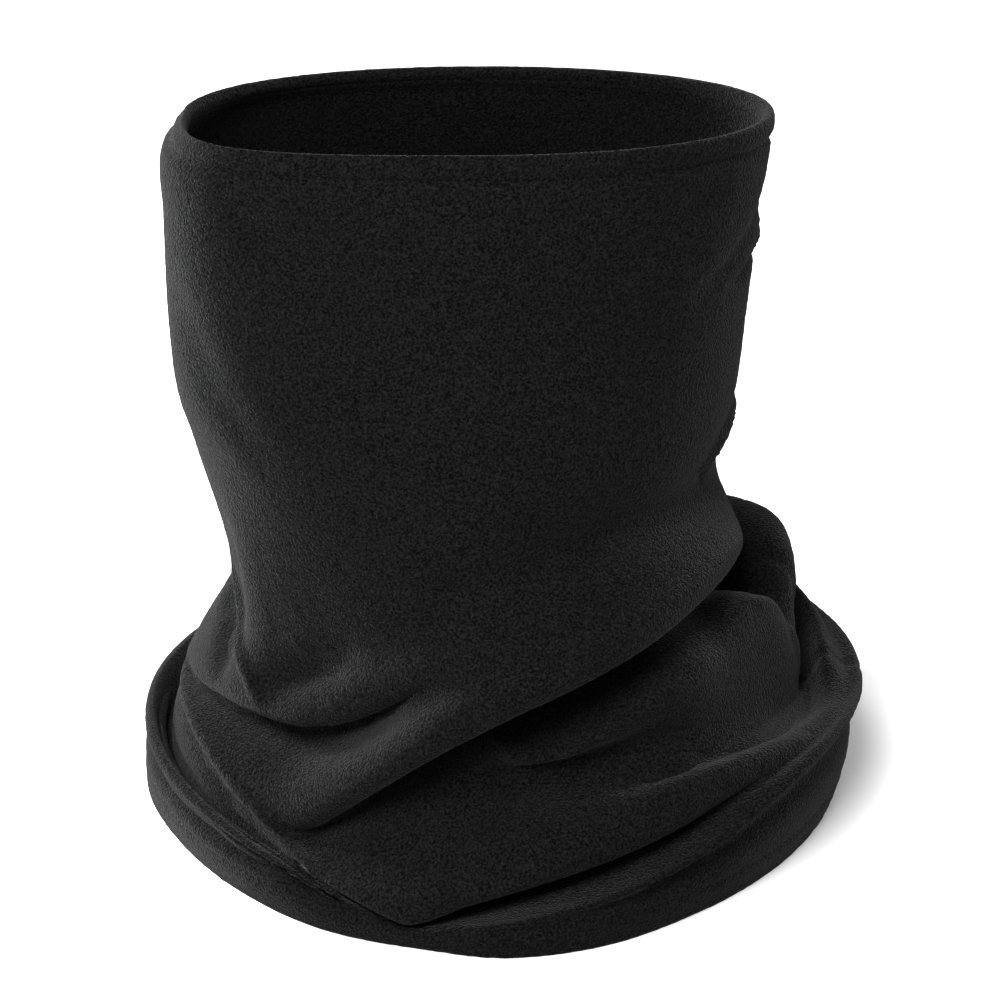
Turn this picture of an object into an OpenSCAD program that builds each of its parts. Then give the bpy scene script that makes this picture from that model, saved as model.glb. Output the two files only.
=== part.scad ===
// Fleece neck gaiter standing on its bottom hem, its lower half slumped into folds.
// Two fleece tubes, a shell and a lining, are sewn together at the mouth and at the hem.
// Z is up, the front faces -Y, and the wearer's head goes through from the floor to the mouth.
// Angles are in degrees round Z from the front, positive towards +X.

/* [Overall] */
// Height from the floor to the mouth's edge
stand_height = 254; // [210:1:306]
// Width of the open mouth, side to side
mouth_width = 202; // [168:1:243]
// Depth of the open mouth, front to back
mouth_depth = 102; // [85:1:123]
// Diameter of the bottom hem where it rests on the floor
skirt_diameter = 254; // [211:1:305]

/* [Fabric] */
// Thickness of one layer of fleece
fleece = 1.8; // [1.2:0.1:2.2]
// Air left between the shell and the lining
layer_gap = 0.4; // [0.3:0.1:0.6]
// Depth of the shell's turned-in edge at the mouth, where the lining is sewn to it
mouth_turn = 3; // [2.8:0.1:3.4]
// Height of the shell's turned-in hem at the floor
hem_turn = 15; // [12:0.5:16]

/* [Stitching] */
// Diameter of the sewing thread
thread_d = 0.7; // [0.4:0.1:0.9]
// Distance from the mouth's edge down to its row of stitching
stitch_drop = 6.5; // [5:0.5:7]
// Distance from the floor up to the hem's row of stitching
hem_stitch = 11; // [6:0.5:11]
// Width of the dent that a row of stitching pulls into the pile
dent_w = 3; // [2:0.5:3]

/* [Hidden] */

// The height, the skirt and the top of the hem that the fold lines below are given for
drawn_height = 254;
drawn_skirt = 254;
drawn_hem = 15;
// Half-planes round Z that carry the profile
sides = 48;
// The half-planes that carry the two closing seams: 90 degrees and 210 degrees
shell_seam_side = 12;
lining_seam_side = 28;
// The whole hem, with both layers in it
hem_t = 2 * fleece + layer_gap;
// How deep a row of stitching sinks into the pile, and the air round a thread
dent = 0.6;
thread_air = 0.1;

// Upper body, from the mouth down: [height, centre x, centre y, width, depth]
// in shares of the height, the mouth's width and the mouth's depth
BODY = [[1.00, -0.036, -0.150, 0.964, 1.00],
        [0.98, -0.052, -0.150, 0.990, 1.01],
        [0.89, -0.055, -0.150, 0.985, 1.05],
        [0.75, -0.070, -0.140, 0.965, 1.14],
        [0.63, -0.072, -0.120, 0.945, 1.29],
        [0.54, -0.075, -0.100, 0.905, 1.41]];
BODY_ROWS = [0.85, 0.79, 0.73, 0.67, 0.61, 0.55];

// The folds of the lower body, from the top fold to the hem, each a closed line round Z
// given as [radius, height] at these angles
FOLD_ANGLES = [-165, -120, -85, -60, -40, -27, -14, 5, 25, 45, 65, 85, 105, 135];
FOLDS = [
    // the waist above the folds
    [[73, 116], [85, 100], [94, 92], [97, 92], [93, 94], [90, 102], [88, 108],
     [86, 120], [83, 126], [80, 128], [79, 127], [79, 124], [75, 122], [70, 120]],
    // swell of the big fold, which sags from the upper right to the lower left
    [[82, 96], [97, 74], [108, 62], [106, 64], [99, 66], [97, 76], [96, 90],
     [94, 104], [90, 112], [86, 116], [84, 115], [82, 111], [80, 108], [78, 104]],
    // crest of the big fold
    [[92, 78], [106, 58], [113, 50], [114, 46], [111, 44], [110, 58], [109, 74],
     [105, 90], [99, 100], [94, 106], [90, 106], [86, 98], [84, 94], [85, 88]],
    // lower edge of the big fold
    [[94, 67], [107, 50], [112, 47], [114, 43], [115, 37], [112, 46], [107, 60],
     [101, 78], [95, 89], [90, 96], [86, 97], [83, 90], [83, 85], [88, 78]],
    // hollow under the big fold
    [[94, 58], [107, 45], [112, 43], [114, 39], [115, 34], [106, 42], [96, 53],
     [86, 67], [81, 79], [78, 88], [78, 90], [85, 83], [88, 79], [91, 70]],
    // the soft fold inside the hollow
    [[98, 48], [108, 41], [113, 39], [115, 36], [116, 32], [108, 37], [99, 46],
     [93, 54], [95, 66], [97, 76], [97, 80], [99, 74], [102, 70], [97, 60]],
    // foot of the soft fold, where the drape starts
    [[103, 41], [110, 37], [114, 35], [117, 33], [118, 30], [114, 32], [107, 38],
     [103, 43], [104, 48], [107, 53], [110, 51], [112, 50], [112, 52], [106, 48]],
    // lower edge of the drape, which hangs lowest left of the front
    [[110, 35], [114, 32], [117, 31], [119, 29], [121, 27], [121, 26], [121, 26],
     [119, 30], [117, 34], [119, 40], [123, 43], [126, 42], [123, 44], [115, 40]],
    // gutter between the drape and the rolled brim
    [[116, 29], [119, 27], [121, 26], [122, 25], [123, 23], [123, 22], [123, 22],
     [119, 24], [117, 28], [120, 35], [126, 39], [130, 38], [127, 39], [120, 34]],
    // side of the rolled brim
    [[127, 21], [129, 21], [129, 21], [127, 20], [125, 19], [125, 18], [125, 18],
     [126, 19], [126, 22], [129, 27], [133, 30], [136, 28], [134, 29], [129, 25]]];
// Radius of the hem line and of the floor line at the same angles
HEM_R = [127, 129, 129, 126, 125, 125, 125, 126, 125, 124, 125, 128, 129, 127];
FLOOR_R = [127, 129, 130, 126, 125, 125, 126, 128, 124, 121, 121, 124, 127, 127];

hem_top = hem_turn + layer_gap;
k_height = (stand_height - hem_top) / (drawn_height - drawn_hem);
k_skirt = skirt_diameter / drawn_skirt;

function angle(i) = 360 * i / sides;

// Value at angle a of a closed line that has the values v at FOLD_ANGLES
function slope(v, k) =
    let (n = len(v),
         before = FOLD_ANGLES[(k + n - 1) % n] - (k == 0 ? 360 : 0),
         after = FOLD_ANGLES[(k + 1) % n] + (k == n - 1 ? 360 : 0))
    (v[(k + 1) % n] - v[(k + n - 1) % n]) / (after - before);
function between(v, a) =
    let (n = len(v),
         turn = a < FOLD_ANGLES[0] ? a + 360 : a >= FOLD_ANGLES[0] + 360 ? a - 360 : a,
         k = max([for (j = [0 : n - 1]) if (FOLD_ANGLES[j] <= turn) j]),
         next = (k + 1) % n,
         span = FOLD_ANGLES[next] + (next == 0 ? 360 : 0) - FOLD_ANGLES[k],
         s = (turn - FOLD_ANGLES[k]) / span)
    v[k] * (1 + 2 * s) * pow(1 - s, 2) + slope(v, k) * span * s * pow(1 - s, 2)
    + v[next] * s * s * (3 - 2 * s) - slope(v, next) * span * s * s * (1 - s);

// Radius at angle a of the upper body's oval at a share h of the height
function oval_r(a, h) =
    let (x = [for (k = [1 : 4]) lookup(h, [for (b = BODY) [b[0], b[k]]])],
         cx = x[0] * mouth_width, cy = x[1] * mouth_depth,
         rx = x[2] * mouth_width / 2, ry = x[3] * mouth_depth / 2,
         dx = sin(a) / rx, dy = -cos(a) / ry,
         ox = cx / rx, oy = cy / ry,
         p = dx * dx + dy * dy, q = dx * ox + dy * oy)
    (q + sqrt(q * q - p * (ox * ox + oy * oy - 1))) / p;
// How much farther through a wall it is along the radius than straight through
function slant(a, h) =
    let (r = oval_r(a, h), turn = (oval_r(a + 1, h) - oval_r(a - 1, h)) * 90 / PI)
    norm([r, turn]) / r;
function body_row(a, h) = [oval_r(a, h), h * stand_height, slant(a, h)];

// Corner cutting, which rounds a line of points and keeps its ends
function rounded(p) =
    concat([p[0]],
           [for (i = [0 : len(p) - 2], s = [0.25, 0.75]) p[i] + s * (p[i + 1] - p[i])],
           [p[len(p) - 1]]);

// Rows of the outer surface at angle a, from the mouth's edge to the floor, each
// [radius, height, slant of the wall to the half-plane]
mouth_rows = [hem_t / 2, mouth_turn, mouth_turn + layer_gap,
              stitch_drop - dent_w / 2, stitch_drop, stitch_drop + dent_w / 2];
hem_rows = [hem_top, hem_turn, hem_stitch + dent_w / 2, hem_stitch,
            hem_stitch - dent_w / 2, 0];
function hem_row(a, z) =
    let (t = z / hem_top)
    [k_skirt * (between(HEM_R, a) * t + between(FLOOR_R, a) * (1 - t)), z, 1];
function folds(a) =
    [for (f = FOLDS)
        [k_skirt * between([for (p = f) p[0]], a),
         hem_top + k_height * (between([for (p = f) p[1]], a) - drawn_hem), 1]];
function lower(a) =
    rounded(concat([body_row(a, BODY_ROWS[len(BODY_ROWS) - 1])], folds(a),
                   [hem_row(a, hem_top)]));
function rows(a) =
    concat([for (d = mouth_rows) body_row(a, 1 - d / stand_height)],
           [for (h = BODY_ROWS) body_row(a, h)],
           [for (i = [1 : len(lower(a)) - 2]) lower(a)[i]],
           [for (z = hem_rows) hem_row(a, z)]);

// The rows that matter to the layers
last = len(rows(0)) - 1;
lining_top = 2;
mouth_stitch_row = 4;
lining_foot = last - 5;
hem_stitch_row = last - 2;

// Direction into the cloth at row j of the profile p, in its half-plane
function inward(p, j) =
    j < len(mouth_rows) || j >= len(p) - len(hem_rows) ? [-1, 0] :
    let (d = p[j + 1] - p[j - 1]) [d[1], -d[0]] / norm([d[0], d[1]]);
// The point at a depth into the cloth from row j
function sunk(p, j, depth) = [p[j][0], p[j][1]] + depth * p[j][2] * inward(p, j);

// A point [radius, height] of the half-plane at angle a, in space
function in_space(a, q) = [q[0] * sin(a), -q[0] * cos(a), q[1]];

// The part stands with the middle of its box over the origin
outline = [for (i = [0 : sides - 1], q = rows(angle(i))) in_space(angle(i), q)];
function middle(k) = (min([for (p = outline) p[k]]) + max([for (p = outline) p[k]])) / 2;
centre = [middle(0), middle(1), 0];

// A closed band through one loop of points per half-plane. The loops climb the outside
// for their first up points, and the facets there are split the other way, so that the
// facets of neighbouring layers lie parallel.
module band(loops, up = 0) {
    n = len(loops[0]);
    m = len(loops);
    polyhedron(
        points = [for (l = loops, p = l) p - centre],
        faces = [for (i = [0 : m - 1], j = [0 : n - 1])
            let (a = i * n + j, b = i * n + (j + 1) % n,
                 c = ((i + 1) % m) * n + (j + 1) % n, d = ((i + 1) % m) * n + j)
            each j < up ? [[a, b, d], [b, c, d]] : [[a, b, c], [a, c, d]]]);
}

// A six-sided thread through the points p, with its ends closed
module thread(p, side) {
    n = len(p);
    polyhedron(
        points = [for (i = [0 : n - 1], t = [0 : 60 : 300])
            let (along = p[min(i + 1, n - 1)] - p[max(i - 1, 0)],
                 out = cross(side, along / norm(along)))
            p[i] + thread_d / 2 * (cos(t) * side + sin(t) * out / norm(out)) - centre],
        faces = concat(
            [[for (k = [5 : -1 : 0]) k], [for (k = [0 : 5]) (n - 1) * 6 + k]],
            [for (i = [0 : n - 2], k = [0 : 5])
                let (a = i * 6 + k, b = i * 6 + (k + 1) % 6)
                each [[a, b + 6, a + 6], [a, b, b + 6]]]));
}

// A closed thread in the dent at row j, at a depth measured into the cloth
module ring_thread(j, depth) {
    band([for (i = [0 : sides - 1])
        let (p = rows(angle(i)), q = sunk(p, j, depth))
        [for (t = [0 : 60 : 300])
            in_space(angle(i), q + thread_d / 2 * [cos(t), sin(t)])]]);
}

// A thread down the closing seam on half-plane i, between two rows
module seam_thread(i, from, to, depth) {
    a = angle(i);
    p = rows(a);
    thread([for (j = [from : to]) in_space(a, sunk(p, j, depth))], [cos(a), sin(a), 0]);
}

function dented(j) = j == mouth_stitch_row || j == hem_stitch_row ? dent : 0;
function in_hem(j) = j < lining_top || j > lining_foot;

// The shell: turned in over the mouth's edge, and turned up inside the bottom hem
module shell() {
    color([0.08, 0.08, 0.08])
    band([for (i = [0 : sides - 1])
        let (a = angle(i), p = rows(a))
        [for (q = concat(
            [for (j = [last : -1 : 0]) sunk(p, j, dented(j))],
            [for (t = [30 : 30 : 150])
                sunk(p, 0, hem_t / 2 * (1 - cos(t))) + [0, hem_t / 2 * sin(t)]],
            [for (j = [0 : last])
                sunk(p, j, in_hem(j) ? hem_t - dented(j) : fleece)]))
            in_space(a, q)]], up = last);
}

// The lining: a second tube inside the shell, from the mouth's turned edge to the hem's
module lining() {
    color([0.07, 0.07, 0.07])
    band([for (i = [0 : sides - 1])
        let (a = angle(i), p = rows(a))
        [for (q = concat(
            [for (j = [lining_foot : -1 : lining_top]) sunk(p, j, fleece + layer_gap)],
            [for (j = [lining_top : lining_foot]) sunk(p, j, hem_t - dented(j))]))
            in_space(a, q)]], up = lining_foot - lining_top);
}

// Closing seams: the shell's down its right side, the lining's down its back
module shell_seam() {
    color([0.04, 0.04, 0.04])
    seam_thread(shell_seam_side, mouth_stitch_row + 2, lining_foot,
                -thread_d / 2 - thread_air);
}
module lining_seam() {
    color([0.04, 0.04, 0.04])
    seam_thread(lining_seam_side, mouth_stitch_row + 2, lining_foot - 1,
                hem_t + thread_d / 2 + thread_air);
}

// Rows of lockstitch: a needle thread outside and a bobbin thread inside
module mouth_needle_thread() {
    color([0.04, 0.04, 0.04])
    ring_thread(mouth_stitch_row, dent - thread_d / 2 - thread_air);
}
module mouth_bobbin_thread() {
    color([0.04, 0.04, 0.04])
    ring_thread(mouth_stitch_row, hem_t - dent + thread_d / 2 + thread_air);
}
module hem_needle_thread() {
    color([0.04, 0.04, 0.04])
    ring_thread(hem_stitch_row, dent - thread_d / 2 - thread_air);
}
module hem_bobbin_thread() {
    color([0.04, 0.04, 0.04])
    ring_thread(hem_stitch_row, hem_t - dent + thread_d / 2 + thread_air);
}

shell();
lining();
shell_seam();
lining_seam();
mouth_needle_thread();
mouth_bobbin_thread();
hem_needle_thread();
hem_bobbin_thread();
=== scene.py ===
import math
import bpy
import numpy as np
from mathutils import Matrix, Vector


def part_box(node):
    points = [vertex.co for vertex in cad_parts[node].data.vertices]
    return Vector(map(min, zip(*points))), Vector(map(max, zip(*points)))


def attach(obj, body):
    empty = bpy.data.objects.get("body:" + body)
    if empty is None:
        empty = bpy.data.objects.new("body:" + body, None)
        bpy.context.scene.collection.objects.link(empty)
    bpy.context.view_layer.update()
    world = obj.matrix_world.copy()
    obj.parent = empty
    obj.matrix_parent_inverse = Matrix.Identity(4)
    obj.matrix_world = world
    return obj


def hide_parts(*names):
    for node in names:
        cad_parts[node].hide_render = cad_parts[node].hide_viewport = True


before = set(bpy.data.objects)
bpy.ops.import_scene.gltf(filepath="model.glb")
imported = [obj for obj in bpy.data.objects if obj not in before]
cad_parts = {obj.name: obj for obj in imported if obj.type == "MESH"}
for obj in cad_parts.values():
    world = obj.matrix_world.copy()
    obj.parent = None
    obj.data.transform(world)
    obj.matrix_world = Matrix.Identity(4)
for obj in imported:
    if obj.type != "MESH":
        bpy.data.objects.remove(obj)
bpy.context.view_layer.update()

MM = 0.001


# ---- Driving sizes, in metres ------------------------------------------------------------

SHELL_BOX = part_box("shell")
HEIGHT = SHELL_BOX[1][2] - SHELL_BOX[0][2]
DRAWN_HEIGHT = 0.254               # the height that the folds below are drawn for
K = HEIGHT / DRAWN_HEIGHT
AXIS = Vector((-2.1 * MM * K, 0.4 * MM * K, 0))   # the line that the folds are drawn round

FLEECE = 1.8 * MM                  # one layer of fleece
GAP = 0.05 * MM                    # air between the shell and the lining
RIM = 2 * FLEECE + GAP             # both layers together
MOUTH_TURN = 3 * MM                # how far the shell turns in over the mouth's edge
HEM_TURN = 15 * MM                 # how far it turns up inside the bottom hem
STITCH_DROP = 6.5 * MM             # the mouth's row of stitching, below the edge
HEM_STITCH = 11 * MM               # the hem's row of stitching, above the floor
STITCH_LENGTH = 3 * MM
THREAD = 0.6 * MM                  # its thickness
STITCH_SHOWN = 0.76                # the share of each stitch's length that lies on the cloth
GROOVE = 1.7 * MM                  # half width of the groove that a row of stitches pulls
MOUTH_GROOVE = 1.45 * MM           # its depth outside at the mouth
HEM_GROOVE = 0.7 * MM              # outside at the hem
INNER_GROOVE = 0.5 * MM            # and inside at both
SEAM_GROOVE = 2.2 * MM             # half width of a closing seam's groove
SHELL_SEAM_DEPTH = 1.1 * MM
LINING_SEAM_DEPTH = 0.8 * MM
NAP = 0.07 * MM                    # unevenness of the shell's surface, one deviation
SHELL_SEAM = 90                    # degrees from the front of the shell's closing seam
LINING_SEAM = -150                 # and of the lining's

COLUMNS = 384                      # points round the shell; a multiple of 12 suits both seams
ROWS = 200                         # points down it, from the mouth to the floor
LINING_COLUMNS = 288
LINING_ROWS = 130
SCULPT_COLUMNS = 240               # the coarser sheet that the folds are laid out on
SCULPT_ROWS = 130

# Upper body, from the mouth down: height, centre x, centre y, half width, half depth, and
# the squareness of the left front corner, where 2 is an ellipse. Millimetres, as drawn.
BODY = [(254, -7, -15, 97, 50.5, 3.2),
        (250, -9, -15, 99, 51.5, 3.2),
        (244, -11, -15, 100, 52, 3.1),
        (225, -12, -15, 99, 53.5, 3.0),
        (190, -14, -14, 97.5, 58, 2.7),
        (160, -14.5, -12, 95.5, 66, 2.4),
        (140, -14.5, -10.5, 91, 71, 2.1)]
ROUND = 2.1                        # squareness of the other corners

# The folds below it, from the top down. Each is a closed line round the gaiter, given by
# (degrees from the front towards +X, radius, height), in millimetres as drawn.
FOLDS = {
    "waist": [(-160, 72, 104), (-130, 84, 92), (-105, 92, 84), (-90, 96, 82), (-78, 96, 80),
              (-67, 96, 81), (-58, 101, 80), (-48, 97, 79), (-38, 93, 83), (-15, 90, 101),
              (5, 87, 113), (30, 82, 122), (60, 79, 122), (78, 78, 120), (95, 76, 117),
              (120, 72, 118), (150, 68, 114)],
    "pouch": [(-160, 80, 92), (-130, 93, 76), (-105, 102, 62), (-88, 112, 51), (-76, 112, 53),
              (-65, 110, 56), (-55, 107.5, 57.5), (-44, 103.5, 58.5), (-34, 100, 63),
              (-24, 97.5, 72), (-12, 97, 88), (5, 95, 101), (30, 89, 112), (60, 84, 114),
              (80, 82, 110), (100, 79, 108), (120, 76, 108), (150, 74, 104)],
    "tuck": [(-160, 82, 84), (-130, 92, 70), (-105, 101, 57), (-88, 111, 48), (-76, 109, 48.5),
             (-65, 103, 50.5), (-55, 96, 51), (-44, 91, 53.5), (-34, 88, 59), (-25, 88, 68),
             (-17, 93, 79), (-5, 99, 90), (12, 98, 98), (30, 92, 107), (60, 86, 110),
             (80, 84, 106), (100, 80, 103), (120, 78, 102), (150, 77, 98)],
    "roll": [(-160, 92, 74), (-130, 100, 62), (-105, 106, 54), (-88, 113, 48), (-76, 114.5, 47.5),
             (-66, 115, 46.5), (-58, 115, 44), (-50, 114, 41), (-42, 113, 38.5), (-33, 111, 46),
             (-22, 110, 60), (-9, 108, 78), (9, 104, 92), (30, 98, 102), (47, 93, 108),
             (67, 89, 108), (82, 86, 101), (95, 82, 97), (110, 80, 95), (150, 84, 88)],
    "roll_edge": [(-160, 95, 64), (-130, 103, 52), (-105, 108, 48), (-88, 113.5, 46),
                  (-76, 116, 45), (-66, 117, 43), (-58, 117.5, 39), (-50, 117.5, 32.5),
                  (-42, 116, 27.5), (-36, 114, 27), (-26, 112, 42), (-13, 110, 61.5),
                  (0, 106, 75.5), (15, 102, 85.5), (31, 97, 92.5), (47, 92, 97.5),
                  (67, 88, 99), (82, 84, 92), (95, 80, 88), (110, 78, 87), (150, 86, 80)],
    "hollow": [(-160, 90, 60), (-130, 100, 48), (-105, 109, 45), (-88, 112.5, 44),
               (-76, 115, 43), (-66, 116, 41), (-58, 116.5, 37), (-50, 116.5, 30.5),
               (-42, 115, 25), (-36, 108, 25), (-28, 97, 36), (-16, 83, 53), (0, 74, 70),
               (20, 69, 81), (40, 67, 90), (60, 64, 85), (75, 62, 80), (90, 62, 79),
               (110, 66, 82), (150, 82, 76)],
    "soft_fold": [(-160, 92, 56), (-130, 101, 46), (-105, 110, 43), (-88, 112.5, 42.5),
                  (-76, 115, 41.5), (-66, 116, 39.5), (-58, 116.5, 35), (-50, 116.5, 29),
                  (-42, 116, 23.5), (-34, 113, 23), (-24, 104, 34), (-12, 91, 50), (-2, 91, 58),
                  (6, 95, 56), (12, 97, 58), (20, 98, 64), (30, 99, 71), (42, 99, 78),
                  (54, 93.5, 81), (64, 93, 86.5), (71, 97, 84), (76, 100, 76), (80, 102.5, 66),
                  (84, 103, 68), (88, 102, 79),
                  (93, 103, 87), (102, 103, 91), (114, 99, 89), (130, 96, 82), (150, 94, 70)],
    "crease": [(-160, 96, 50), (-130, 104, 43), (-105, 111, 41), (-88, 113, 41),
               (-76, 115.5, 40), (-66, 116.5, 38), (-58, 117, 33), (-50, 117, 28),
               (-42, 117, 22.5), (-34, 116, 21.5), (-22, 108, 31), (-8, 96, 42), (6, 92, 45),
               (18, 94, 49), (30, 98, 53), (40, 101, 53.5), (53, 104, 50), (68, 108, 41),
               (80, 111, 34),
               (90, 108, 30), (102, 108, 31), (116, 107, 37), (150, 102, 44)],
    "drape": [(-160, 104, 45), (-130, 108, 40), (-105, 112, 39), (-88, 114.5, 39),
              (-76, 116.5, 37), (-66, 117, 35), (-58, 117.5, 30), (-50, 117.5, 25.5),
              (-42, 117.5, 21.5), (-33, 118, 20.5), (-24, 117, 21.5), (-13, 116, 25), (0, 114, 32),
              (13, 114, 38), (28, 115, 43), (40, 116, 45.5), (53, 117.5, 46), (68, 119, 43),
              (80, 119, 41), (91, 117.5, 48), (103, 118, 52), (115, 117.5, 54),
              (130, 114, 46), (150, 111, 42)],
    "drape_edge": [(-160, 108, 40), (-130, 110, 36), (-105, 114, 34), (-88, 118, 31),
                   (-76, 119, 27.5), (-66, 119, 25), (-58, 119, 22.5), (-50, 119, 20),
                   (-42, 119.5, 18.5), (-33, 121.5, 17.5), (-24, 124.5, 15), (-17, 127, 12.5),
                   (-14, 128, 11), (-11, 127, 12.5), (-5, 123, 17.5), (5, 120, 22.5),
                   (18, 118, 28), (31, 117.5, 33), (40, 118, 37.5), (53, 121, 42.5),
                   (68, 123, 43.5), (82, 123.5, 42), (93, 120.5, 47), (104, 121, 50),
                   (116, 120, 50), (130, 118, 44), (150, 115, 40)],
    "gutter": [(-160, 110, 34), (-130, 114, 24), (-105, 119, 17), (-88, 121, 14),
               (-70, 120.5, 11), (-50, 117, 8.5), (-35, 112, 8), (-24, 112, 6.5), (-14, 114, 5),
               (-5, 106, 8), (10, 104, 16), (22, 104, 22), (32, 106, 29), (42, 113, 35.5),
               (53, 120, 40), (68, 124.5, 41.5), (82, 126, 40), (96, 125, 41),
               (108, 124, 42), (120, 121, 42), (150, 116, 36)],
    "brim": [(-160, 122, 30), (-130, 124, 29), (-105, 126, 30), (-88, 126.5, 31),
             (-70, 125.5, 29.5), (-50, 123.5, 25.5), (-34, 122.5, 19.5), (-24, 124, 13),
             (-14, 124.5, 8), (-4, 123.5, 9.5), (12, 121, 16), (24, 120.5, 22), (36, 122, 30),
             (48, 125, 40), (60, 127.5, 45), (72, 129, 45), (83, 130, 43), (100, 129.5, 43.5),
             (120, 125, 43), (150, 122, 35)],
    "brim_side": [(-160, 129, 20), (-130, 130, 22), (-105, 130.5, 25), (-88, 130, 26),
                  (-70, 129.5, 25.5), (-50, 128, 23.5), (-34, 128, 19.5), (-24, 127.5, 13.5),
                  (-14, 127, 8), (-4, 127.5, 10), (8, 127.5, 15), (20, 127.5, 20),
                  (30, 127.5, 25.5), (38, 128, 31), (48, 129, 38.5), (60, 130, 42.5),
                  (75, 131, 41), (88, 132, 37), (105, 131.5, 34), (120, 130, 31), (150, 129, 24)],
    "hem_line": [(-160, 124, 16), (-105, 124.5, 19.5), (-88, 124, 20), (-70, 123, 20.5),
                 (-50, 122, 19), (-34, 122.5, 15.5), (-24, 124.5, 11), (-14, 126, 7),
                 (-4, 126, 8.5), (8, 124.5, 12), (20, 122.5, 16), (33, 121, 21), (48, 121.5, 29),
                 (60, 122.5, 33), (75, 124, 33), (88, 125, 31), (105, 126, 28), (150, 125, 18)],
    "hem_top": [(-160, 128, 12), (-105, 130, 15), (-84, 129.5, 15.5), (-64, 128, 15.5),
                (-50, 127.5, 14.5), (-34, 127, 12.5), (-24, 127, 9), (-14, 126.5, 6),
                (-4, 127.5, 7), (8, 127, 9.5), (20, 126, 12.5), (34, 124.5, 16), (48, 124.5, 21),
                (60, 125.5, 24), (75, 127, 24), (88, 128, 23), (105, 129, 21), (150, 128.5, 13)],
    "hem": [(-160, 128, 7), (-105, 130.5, 7.5), (-84, 130, 7.5), (-64, 127.5, 8),
            (-29, 127.5, 6), (-14, 126.5, 4), (0, 128, 5), (15, 127, 7), (34, 123.5, 9),
            (58, 123.5, 10.5), (84, 126.5, 10), (110, 128, 9), (150, 128, 7)],
    "floor": [(-160, 127, 0), (-105, 130, 0), (-84, 130, 0), (-64, 126, 0), (-46, 125, 0),
              (-29, 126, 0), (-12, 125.5, 0), (0, 128, 0), (15, 126, 0), (34, 121, 0),
              (58, 120.5, 0), (84, 124, 0), (110, 127, 0), (150, 127, 0)],
}

# Creases and ridges that cross the folds: height of the cloth's bulge, or depth if negative,
# then the half width, then the line, given as the folds are.
CREASES = [
    (2.6, 2.2, [(-77, 97, 92), (-70, 98, 83), (-63, 99.5, 75), (-57, 101.5, 69), (-52, 105, 63)]),
    (-4.5, 5.0, [(-92, 98, 80), (-80, 98, 75), (-72, 100, 69), (-65, 105, 62)]),
    (2.6, 3.0, [(-92, 113, 51), (-83, 114.5, 48.5), (-76, 116, 46.5), (-66, 117, 44.5),
                (-58, 117.5, 40.5), (-50, 117.5, 34.5), (-42, 118, 26.5), (-34, 119.5, 20.5),
                (-26, 123, 17), (-19, 126, 14), (-14, 128, 12)]),
    (-2.6, 3.6, [(-92, 116, 44), (-76, 118, 38.5), (-66, 118, 35), (-58, 118.5, 30.5),
                 (-50, 119, 24), (-42, 120, 19.5), (-35, 122, 16), (-28, 124.5, 12.5),
                 (-22, 126, 10)]),
    (-3.5, 6.0, [(-50, 99, 68), (-42, 97, 76), (-33, 93, 85)]),
    (2.0, 7.0, [(-43, 104, 67), (-32, 100, 80), (-20, 97, 89), (-6, 96, 95)]),
    (-4.5, 9.0, [(78, 82, 126), (66, 82, 127), (51, 82, 129), (37, 82, 129.5), (23, 83, 127),
                  (11, 84, 123), (0, 86, 118), (-10, 88, 113)]),
    (1.8, 3.0, [(-2, 92, 67), (1, 93, 60), (6, 95, 55.5), (12, 96, 57.5), (20, 97, 64),
                (28, 98, 70), (38, 99, 76)]),
    (-3.0, 4.5, [(0, 94, 50), (5, 95, 48.5), (12, 96, 49.5), (22, 98, 55), (33, 98, 61)]),
    (-2.6, 3.5, [(77, 112, 35), (68, 111, 41), (59, 110, 46), (48, 108, 49), (38, 106, 49),
                 (30, 104, 47.5), (22, 103, 46)]),
    (1.8, 3.5, [(60, 120, 47), (48, 118, 50), (39, 116, 50), (32, 114, 48.5), (24, 113, 45)]),
    (1.8, 2.2, [(54, 93, 82), (60, 93, 85.5), (66, 94.5, 86.5), (73, 98, 80), (79, 102, 70),
                (83, 104.5, 56), (83, 107, 44)]),
    (-4.0, 4.5, [(91, 109, 36), (91, 107, 50), (90, 105, 66)]),
    (-5.0, 3.2, [(86, 80, 146), (78, 79, 141), (71, 77, 136), (65, 76, 131)]),
    (3.0, 2.2, [(82, 79, 154), (74, 79, 150), (67, 78, 144), (61, 76, 137)]),
    (-2.4, 2.6, [(90, 87, 213), (82, 86, 211), (73, 82, 207), (64, 75, 202)]),
    (1.4, 2.2, [(88, 87, 217), (80, 86, 215), (72, 82, 211)]),
    (-2.0, 5.0, [(82, 88, 232), (70, 80, 218), (56, 70, 203)]),
    (-2.0, 6.0, [(60, 74, 240), (46, 70, 226), (30, 70, 214)]),
    (-2.0, 6.0, [(-52, 106, 236), (-44, 96, 222), (-30, 82, 212)]),
    (-1.5, 9.0, [(-70, 104, 205), (-62, 100, 175), (-50, 94, 150)]),
    (1.2, 9.0, [(-30, 88, 150), (0, 84, 145), (30, 82, 148)]),
]


# ---- The shape of the cloth --------------------------------------------------------------

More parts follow.
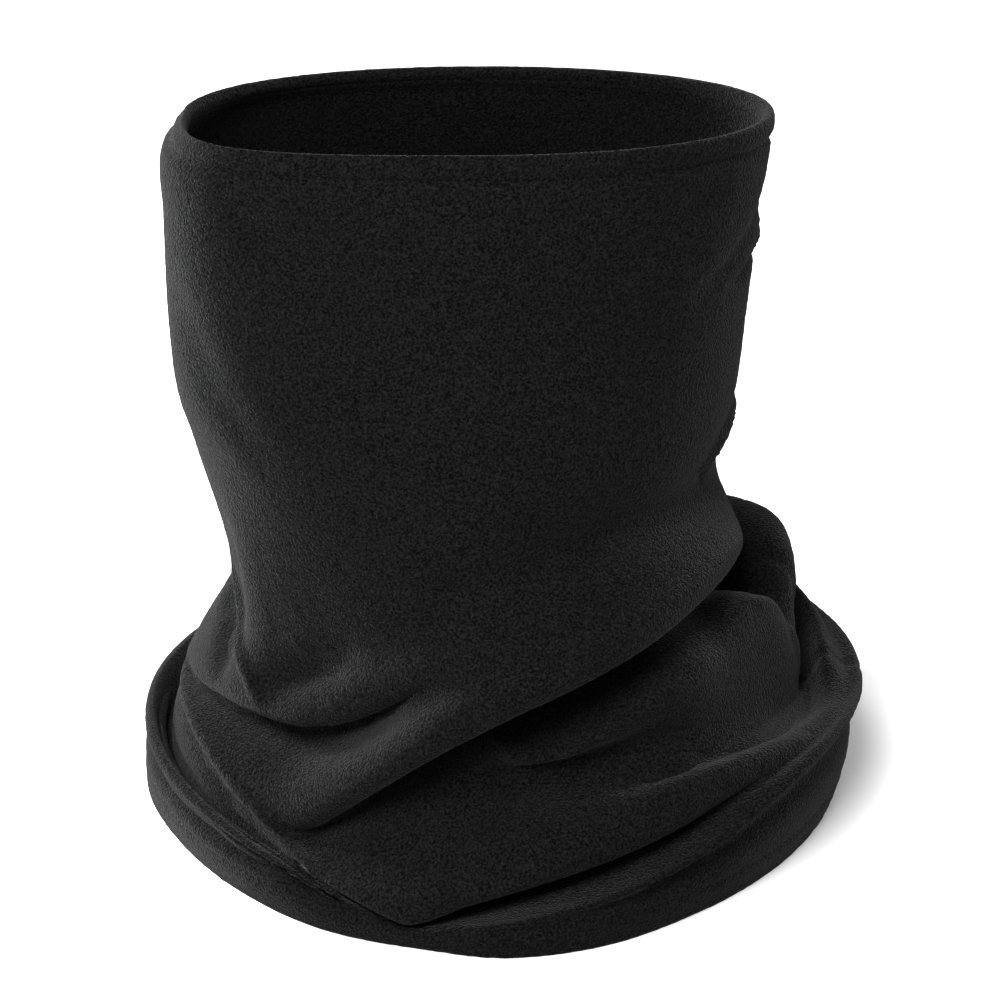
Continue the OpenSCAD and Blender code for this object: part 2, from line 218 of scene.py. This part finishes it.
def closed_line(keys, degrees):
    """Radius and height at each angle, on a smooth closed line through the keys."""
    key = np.array(sorted(keys), float)
    at = np.r_[key[-2:, 0] - 360, key[:, 0], key[:3, 0] + 360]
    value = np.r_[key[-2:, 1:], key[:, 1:], key[:3, 1:]]
    slope = (value[2:] - value[:-2]) / (at[2:] - at[:-2])[:, None]
    turn = (degrees - at[1]) % 360 + at[1]
    i = np.clip(np.searchsorted(at, turn, side="right") - 1, 1, len(at) - 3)
    span = (at[i + 1] - at[i])[:, None]
    s = (turn - at[i])[:, None] / span
    return ((2 * s**3 - 3 * s**2 + 1) * value[i] + (s**3 - 2 * s**2 + s) * slope[i - 1] * span
            + (3 * s**2 - 2 * s**3) * value[i + 1] + (s**3 - s**2) * slope[i] * span)


def drawn(points):
    """Points in millimetres as drawn, turned into metres in the frame."""
    return points * MM * K + np.array(AXIS)


def in_space(degrees, radius, height):
    """Points given round the drawn axis, in metres in the frame."""
    turn = np.radians(degrees)
    points = np.stack([radius * np.sin(turn), -radius * np.cos(turn), height], -1)
    return drawn(points)


def control_rings(count):
    """The body's ovals and the fold lines, as rings of points from the mouth down."""
    degrees = np.linspace(-180, 180, count, endpoint=False)
    sine, cosine = np.sin(np.radians(degrees)), np.cos(np.radians(degrees))
    rings = []
    for height, cx, cy, rx, ry, corner in BODY:
        square = np.where((sine < 0) & (cosine > 0), corner, ROUND)
        reach = (np.abs(sine)**square + np.abs(cosine)**square)**(-1 / square)
        ring = np.stack([cx + rx * sine * reach, cy - ry * cosine * reach,
                         np.full(count, float(height))], 1)
        rings.append(drawn(ring))
    for keys in FOLDS.values():
        line = closed_line(keys, degrees)
        rings.append(in_space(degrees, line[:, 0], line[:, 1]))
    return np.array(rings)


def spline_down(rings, steps=12):
    """Centripetal Catmull-Rom splines through the rings, column by column."""
    padded = np.concatenate([2 * rings[:1] - rings[1:2], rings, 2 * rings[-1:] - rings[-2:-1]])
    gap = np.sqrt(np.linalg.norm(np.diff(padded, axis=0), axis=2) + 1e-6)

    def mix(a, b, ta, tb, t):
        return ((tb - t) / (tb - ta))[:, None] * a + ((t - ta) / (tb - ta))[:, None] * b

    rows = []
    for i in range(1, len(padded) - 2):
        p = padded[i - 1:i + 3]
        knot = [np.zeros(rings.shape[1])]
        for j in range(3):
            knot.append(knot[-1] + gap[i - 1 + j])
        for step in range(steps):
            t = knot[1] + (knot[2] - knot[1]) * step / steps
            a = [mix(p[j], p[j + 1], knot[j], knot[j + 1], t) for j in range(3)]
            b = [mix(a[j], a[j + 1], knot[j], knot[j + 2], t) for j in range(2)]
            rows.append(mix(b[0], b[1], knot[1], knot[2], t))
    rows.append(padded[-2])
    return np.array(rows)


def column_lengths(sheet):
    """Length of each column of the sheet, from the mouth to the floor."""
    return np.linalg.norm(np.diff(sheet, axis=0), axis=2).sum(0)


def resampled(rows, count):
    """The same columns with evenly spaced rows."""
    along = np.linalg.norm(np.diff(rows, axis=0), axis=2)
    along = np.concatenate([np.zeros((1, rows.shape[1])), np.cumsum(along, axis=0)])
    out = np.empty((count, rows.shape[1], 3))
    for c in range(rows.shape[1]):
        at = np.linspace(0, along[-1, c], count)
        for axis in range(3):
            out[:, c, axis] = np.interp(at, along[:, c], rows[:, c, axis])
    return out


def smoothed(sheet, passes, strength=0.5):
    """Evens out a sheet of points, closed round and free down, with its edges kept level."""
    for _ in range(passes):
        round_mean = (np.roll(sheet, 1, 1) + np.roll(sheet, -1, 1)) / 2
        down_mean = sheet.copy()
        down_mean[1:-1] = (sheet[:-2] + sheet[2:]) / 2
        target = (round_mean + down_mean) / 2
        target[[0, -1], :, 2] = sheet[[0, -1], :, 2]
        sheet = sheet + strength * (target - sheet)
    return sheet


def normals(sheet):
    """Outward unit normals of a sheet of points."""
    across = np.roll(sheet, -1, 1) - np.roll(sheet, 1, 1)
    down = np.gradient(sheet, axis=0)
    out = np.cross(down, across)
    return out / np.linalg.norm(out, axis=2, keepdims=True)


def finer(sheet, rows, columns):
    """The sheet with more rows and columns, on cubic splines both ways."""
    def along(points, count, closed):
        n = len(points)
        at = np.arange(count) * (n / count) if closed else np.linspace(0, n - 1, count)
        i = np.minimum(at.astype(int), n - 1 if closed else n - 2)
        s = (at - i).reshape((-1,) + (1,) * (points.ndim - 1))
        index = [(i + k) % n if closed else np.clip(i + k, 0, n - 1) for k in (-1, 0, 1, 2)]
        a, b, c, d = (points[k] for k in index)
        return b + s / 2 * (c - a + s * (2 * a - 5 * b + 4 * c - d
                                         + s * (3 * (b - c) + d - a)))
    tall = along(sheet, rows, False)
    return np.swapaxes(along(np.swapaxes(tall, 0, 1), columns, True), 0, 1)


def nearest(sheet, point):
    """The sheet's point that lies nearest to a point."""
    flat = sheet.reshape(-1, 3)
    return flat[np.argmin(((flat - point)**2).sum(1))]


def creased(sheet, height, width, path):
    """The sheet raised, or sunk, along a path of points on it, fading at both ends."""
    reach = np.zeros(sheet.shape[:2])
    for i, point in enumerate(path):
        fade = math.sin(math.pi * (i + 1) / (len(path) + 1))**0.4
        away = ((sheet - point)**2).sum(2)
        reach = np.maximum(reach, fade * np.exp(-away / width**2))
    return sheet + normals(sheet) * (height * reach)[:, :, None]


def crease_path(sheet, keys, count=60):
    """A smooth path on the sheet along a line given by degrees, radius and height."""
    key = np.array(keys, float)
    at = np.linspace(0, len(key) - 1, count)
    degrees, radius, height = (np.interp(at, np.arange(len(key)), key[:, k]) for k in range(3))
    path = np.array([nearest(sheet, p) for p in in_space(degrees, radius, height)])
    for _ in range(6):
        path[1:-1] = (path[:-2] + 2 * path[1:-1] + path[2:]) / 4
    return path


def sculpted():
    """The outside of the cloth, on the coarse sheet."""
    sheet = resampled(spline_down(control_rings(SCULPT_COLUMNS)), SCULPT_ROWS)
    return smoothed(sheet, 2)


# ---- Layers ------------------------------------------------------------------------------

def mesh_object(name, points, faces):
    mesh = bpy.data.meshes.new(name)
    mesh.from_pydata([tuple(p) for p in points], [], faces)
    mesh.polygons.foreach_set("use_smooth", [True] * len(mesh.polygons))
    mesh.update()
    obj = bpy.data.objects.new(name, mesh)
    bpy.context.scene.collection.objects.link(obj)
    return obj


def closed_band(name, loops):
    """A solid ring of cloth: rows of points that go down the outside and up the inside."""
    m, n = loops.shape[:2]
    faces = [(i * n + j, ((i + 1) % m) * n + j, ((i + 1) % m) * n + (j + 1) % n,
              i * n + (j + 1) % n) for i in range(m) for j in range(n)]
    return mesh_object(name, loops.reshape(-1, 3), faces)


def row_at(sheet, distance):
    """The row that is about this far down from the mouth's edge."""
    return round(distance / column_lengths(sheet).mean() * (len(sheet) - 1))


def line_at(sheet, values, distance):
    """The sheet's values along the closed line at an exact distance down the cloth from the
    mouth, or up it from the floor if the distance is negative."""
    if distance < 0:
        return line_at(sheet[::-1], values[::-1], -distance)
    at = distance / column_lengths(sheet) * (len(sheet) - 1)
    i = at.astype(int)
    part = (at - i)[:, None]
    column = np.arange(sheet.shape[1])
    return values[i, column] * (1 - part) + values[i + 1, column] * part


def dented(sheet, out, distance, width, depth):
    """Pulls a groove into the cloth at a distance from the mouth, or from the floor."""
    share = np.linspace(0, 1, len(sheet))[:, None] * column_lengths(sheet)
    if distance < 0:
        share = share - column_lengths(sheet)
    return sheet - out * (depth * np.exp(-((share - distance) / width)**2))[:, :, None]


def column_at(sheet, degrees):
    """The column that stands at an angle from the front."""
    return round((degrees + 180) / 360 * sheet.shape[1])


def seam_at(sheet, values, degrees):
    """The sheet's values down a column, from the mouth's row of stitching to the hem's."""
    first = row_at(sheet, STITCH_DROP) + 1
    last = len(sheet) - row_at(sheet, HEM_STITCH) - 2
    return values[first:last, column_at(sheet, degrees)]


def shell_piece(cloth, out, inner):
    """The outer fleece, turned in at the mouth and turned up inside the hem."""
    top = row_at(cloth, MOUTH_TURN)
    foot = len(cloth) - 1 - row_at(cloth, HEM_TURN)
    behind = cloth - FLEECE * out
    rim = [cloth[0] - out[0] * RIM / 2 * (1 - math.cos(t))
           + np.array([0, 0, RIM / 2 * math.sin(t)]) for t in np.radians([150, 120, 90, 60, 30])]
    return closed_band("fleece_shell", np.concatenate([
        cloth, inner[foot::3][::-1], behind[top + 1:foot - 1:6][::-1], inner[top::-1], rim]))


def lining_piece(cloth, out, inner):
    """The inner fleece, from the shell's turned edge at the mouth to the hem's turn."""
    top = row_at(cloth, MOUTH_TURN)
    foot = len(cloth) - 1 - row_at(cloth, HEM_TURN)
    outer = (cloth - (FLEECE + GAP) * out)[top:foot - 1:2]
    return closed_band("fleece_lining", np.concatenate([outer, inner[top:foot - 1][::-1]]))


# ---- Stitching ---------------------------------------------------------------------------

def stitches(name, path, out, closed):
    """A row of stitches along a path: short threads that dive into the cloth at both ends."""
    if closed:
        path = np.concatenate([path, path[:1]])
        out = np.concatenate([out, out[:1]])
    along = np.r_[0, np.cumsum(np.linalg.norm(np.diff(path, axis=0), axis=1))]
    count = int(along[-1] / STITCH_LENGTH)
    points, faces = [], []
    sides = 6
    shares = (0, 0.2, 0.5, 0.8, 1)
    for i in range(count):
        first = len(points)
        for share in shares:
            at = (i + (1 - STITCH_SHOWN) / 2 + STITCH_SHOWN * share) * along[-1] / count
            place, normal, ahead = (np.array([np.interp(d, along, line[:, k]) for k in range(3)])
                                    for line, d in ((path, at), (out, at), (path, at + MM)))
            normal = normal / np.linalg.norm(normal)
            before = np.array([np.interp(at - MM, along, path[:, k]) for k in range(3)])
            side = np.cross(normal, ahead - before)
            side = side / np.linalg.norm(side)
            middle = place + normal * THREAD * (math.sin(math.pi * share) - 1.05)
            for turn in range(sides):
                angle = 2 * math.pi * turn / sides
                points.append(middle + THREAD / 2 * (math.cos(angle) * side
                                                     + math.sin(angle) * normal))
        rings = len(shares) - 1
        for ring in range(rings):
            for turn in range(sides):
                a, b = first + ring * sides + turn, first + ring * sides + (turn + 1) % sides
                faces.append((a, b, b + sides, a + sides))
        faces.append(tuple(first + turn for turn in reversed(range(sides))))
        faces.append(tuple(first + rings * sides + turn for turn in range(sides)))
    return mesh_object(name, points, faces)


# ---- Materials ---------------------------------------------------------------------------

def procedural(name):
    """A new material, its shader, and a maker of noise in object space."""
    material = bpy.data.materials.new(name)
    material.use_nodes = True
    nodes, links = material.node_tree.nodes, material.node_tree.links
    place = nodes.new("ShaderNodeTexCoord")

    def noise(scale, detail, rough=0.5):
        node = nodes.new("ShaderNodeTexNoise")
        node.inputs["Scale"].default_value = scale
        node.inputs["Detail"].default_value = detail
        node.inputs["Roughness"].default_value = rough
        links.new(place.outputs["Object"], node.inputs["Vector"])
        return node.outputs["Fac"]
    return material, nodes["Principled BSDF"], nodes, links, noise


def fleece_material(name, tint):
    """Matt micro-fleece: short pile in small clumps, a little lighter where it lies flat."""
    material, shader, nodes, links, noise = procedural(name)
    clumps = noise(1200, 2, 0.6)
    fibres = noise(2600, 2)
    patches = noise(38, 3)

    def ramp(fac, low, high, dark, light):
        node = nodes.new("ShaderNodeValToRGB")
        for element, position, share in zip(node.color_ramp.elements, (low, high), (dark, light)):
            element.position = position
            element.color = (*[share * c for c in tint], 1)
        links.new(fac, node.inputs["Fac"])
        return node.outputs["Color"]

    mix = nodes.new("ShaderNodeMix")
    mix.data_type = "RGBA"
    links.new(patches, mix.inputs["Factor"])
    links.new(ramp(clumps, 0.35, 0.68, 0.3, 1.8), mix.inputs["A"])
    links.new(ramp(clumps, 0.35, 0.68, 0.4, 2.15), mix.inputs["B"])
    links.new(mix.outputs["Result"], shader.inputs["Base Color"])
    pile = nodes.new("ShaderNodeMath")
    pile.operation = "MULTIPLY_ADD"
    pile.inputs[1].default_value = 0.25
    links.new(fibres, pile.inputs[0])
    links.new(clumps, pile.inputs[2])
    bump = nodes.new("ShaderNodeBump")
    bump.inputs["Strength"].default_value = 1
    bump.inputs["Distance"].default_value = 1.1 * MM
    links.new(pile.outputs["Value"], bump.inputs["Height"])
    links.new(bump.outputs["Normal"], shader.inputs["Normal"])
    shader.inputs["Roughness"].default_value = 0.95
    shader.inputs["Specular IOR Level"].default_value = 0.02
    shader.inputs["Sheen Weight"].default_value = 0.12
    shader.inputs["Sheen Roughness"].default_value = 0.3
    return material


def thread_material(name, tint):
    """Spun polyester thread, with its twist as fine bands."""
    material, shader, nodes, links, noise = procedural(name)
    twist = noise(1800, 1)
    ramp = nodes.new("ShaderNodeValToRGB")
    for element, share in zip(ramp.color_ramp.elements, (0.5, 1.6)):
        element.color = (*[share * c for c in tint], 1)
    links.new(twist, ramp.inputs["Fac"])
    links.new(ramp.outputs["Color"], shader.inputs["Base Color"])
    bump = nodes.new("ShaderNodeBump")
    bump.inputs["Strength"].default_value = 0.5
    bump.inputs["Distance"].default_value = 0.1 * MM
    links.new(twist, bump.inputs["Height"])
    links.new(bump.outputs["Normal"], shader.inputs["Normal"])
    shader.inputs["Roughness"].default_value = 0.6
    shader.inputs["Specular IOR Level"].default_value = 0.08
    return material


def plain_material(name, colour, rough):
    material = bpy.data.materials.new(name)
    material.use_nodes = True
    shader = material.node_tree.nodes["Principled BSDF"]
    shader.inputs["Base Color"].default_value = (*colour, 1)
    shader.inputs["Roughness"].default_value = rough
    shader.inputs["Specular IOR Level"].default_value = 0.1
    return material


# ---- The gaiter --------------------------------------------------------------------------

def placed(piece, node, material):
    piece.data.materials.append(material)
    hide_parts(node)
    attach(piece, "root")
    return piece


def sheets(sculpt, rows, columns):
    """The cloth's outside, its normals and its inside, at one fineness, with the dents of
    the two rows of stitching and of the two closing seams."""
    cloth = finer(sculpt, rows, columns)
    for height, width, keys in CREASES:
        cloth = creased(cloth, height * MM * K, width * MM * K, crease_path(cloth, keys))
    cloth[-1, :, 2] = 0
    out = normals(cloth)
    inner = smoothed(cloth - RIM * out, 2)
    inner[:, :, 2] = np.maximum(inner[:, :, 2], 0)
    for distance, depth in ((STITCH_DROP, MOUTH_GROOVE), (-HEM_STITCH, HEM_GROOVE)):
        cloth = dented(cloth, out, distance, GROOVE, depth)
        inner = dented(inner, -out, distance, GROOVE, INNER_GROOVE)
    cloth = creased(cloth, -SHELL_SEAM_DEPTH, SEAM_GROOVE, seam_at(cloth, cloth, SHELL_SEAM))
    inner = creased(inner, LINING_SEAM_DEPTH, SEAM_GROOVE, seam_at(inner, inner, LINING_SEAM))
    return cloth, out, inner


sculpt = sculpted()
shell_fleece = fleece_material("shell_fleece", (0.0118, 0.0118, 0.012))
lining_fleece = fleece_material("lining_fleece", (0.0098, 0.0098, 0.01))
black_thread = thread_material("black_thread", (0.003, 0.003, 0.003))

cloth, out, inner = sheets(sculpt, ROWS, COLUMNS)
pile_noise = np.random.default_rng(5).normal(0, NAP, cloth.shape[:2])
fuzzy = cloth + out * pile_noise[:, :, None]
fuzzy[-1, :, 2] = 0
shell = placed(shell_piece(fuzzy, out, inner), "shell", shell_fleece)
lining = placed(lining_piece(*sheets(sculpt, LINING_ROWS, LINING_COLUMNS)), "lining",
                lining_fleece)

for name, node, sheet, facing, distance in (
        ("mouth_needle_stitches", "mouth_needle_thread", cloth, out, STITCH_DROP),
        ("mouth_bobbin_stitches", "mouth_bobbin_thread", inner, -out, STITCH_DROP),
        ("hem_needle_stitches", "hem_needle_thread", cloth, out, -HEM_STITCH),
        ("hem_bobbin_stitches", "hem_bobbin_thread", inner, -out, -HEM_STITCH)):
    row = stitches(name, line_at(sheet, sheet, distance), line_at(sheet, facing, distance), True)
    placed(row, node, black_thread)
for name, node, sheet, facing, degrees in (
        ("shell_seam_stitches", "shell_seam", cloth, out, SHELL_SEAM),
        ("lining_seam_stitches", "lining_seam", inner, -out, LINING_SEAM)):
    row = stitches(name, seam_at(sheet, sheet, degrees), seam_at(sheet, facing, degrees), False)
    placed(row, node, black_thread)


# ---- Floor, light and camera -------------------------------------------------------------

def floor():
    reach = 4.0
    piece = mesh_object("studio_floor", [(-reach, -reach, 0), (reach, -reach, 0),
                                         (reach, reach, 0), (-reach, reach, 0)],
                        [(0, 1, 2, 3)])
    piece.data.materials.append(plain_material("floor_white", (0.75, 0.75, 0.75), 0.9))


def area_light(name, place, target, size, power):
    """A round soft light of a width in metres and a power in watts, aimed at a point."""
    light = bpy.data.lights.new(name, "AREA")
    light.shape = "DISK"
    light.size = size
    light.energy = power
    obj = bpy.data.objects.new(name, light)
    obj.location = place
    obj.rotation_euler = (Vector(target) - Vector(place)).to_track_quat("-Z", "Y").to_euler()
    bpy.context.scene.collection.objects.link(obj)


def sky():
    """Soft light from all round, brighter overhead."""
    world = bpy.data.worlds.new("studio")
    world.use_nodes = True
    nodes, links = world.node_tree.nodes, world.node_tree.links
    place = nodes.new("ShaderNodeTexCoord")
    split = nodes.new("ShaderNodeSeparateXYZ")
    ramp = nodes.new("ShaderNodeValToRGB")
    ramp.color_ramp.elements[0].color = (0.4, 0.4, 0.4, 1)
    ramp.color_ramp.elements[1].color = (1, 1, 1, 1)
    links.new(place.outputs["Generated"], split.inputs["Vector"])
    links.new(split.outputs["Z"], ramp.inputs["Fac"])
    links.new(ramp.outputs["Color"], nodes["Background"].inputs["Color"])
    nodes["Background"].inputs["Strength"].default_value = 0.4
    bpy.context.scene.world = world


def lights():
    sky()
    middle = (0, 0, HEIGHT / 2)
    area_light("key", (-0.34, -0.85, 1.27), middle, 0.8, 36)
    area_light("left_rim", (-1.1, 0.55, 0.4), middle, 0.3, 58)
    area_light("right_rim", (1.1, 0.6, 0.5), middle, 0.3, 16)


def camera():
    """A camera 25 degrees above level, 1 m from the gaiter's middle at the drawn size."""
    middle = AXIS + Vector((0, 0, 0.107 * K))
    tilt = math.radians(25)
    lens = bpy.data.cameras.new("camera")
    lens.lens = 101.5
    lens.sensor_width = 36
    obj = bpy.data.objects.new("camera", lens)
    obj.location = middle + Vector((0, -math.cos(tilt), math.sin(tilt))) * K
    obj.rotation_euler = (middle - obj.location).to_track_quat("-Z", "Y").to_euler()
    bpy.context.scene.collection.objects.link(obj)
    bpy.context.scene.camera = obj


floor()
lights()
camera()
view = bpy.context.scene.view_settings
view.view_transform = "Standard"
view.gamma = 0.8                   # deepens the shadows in the folds
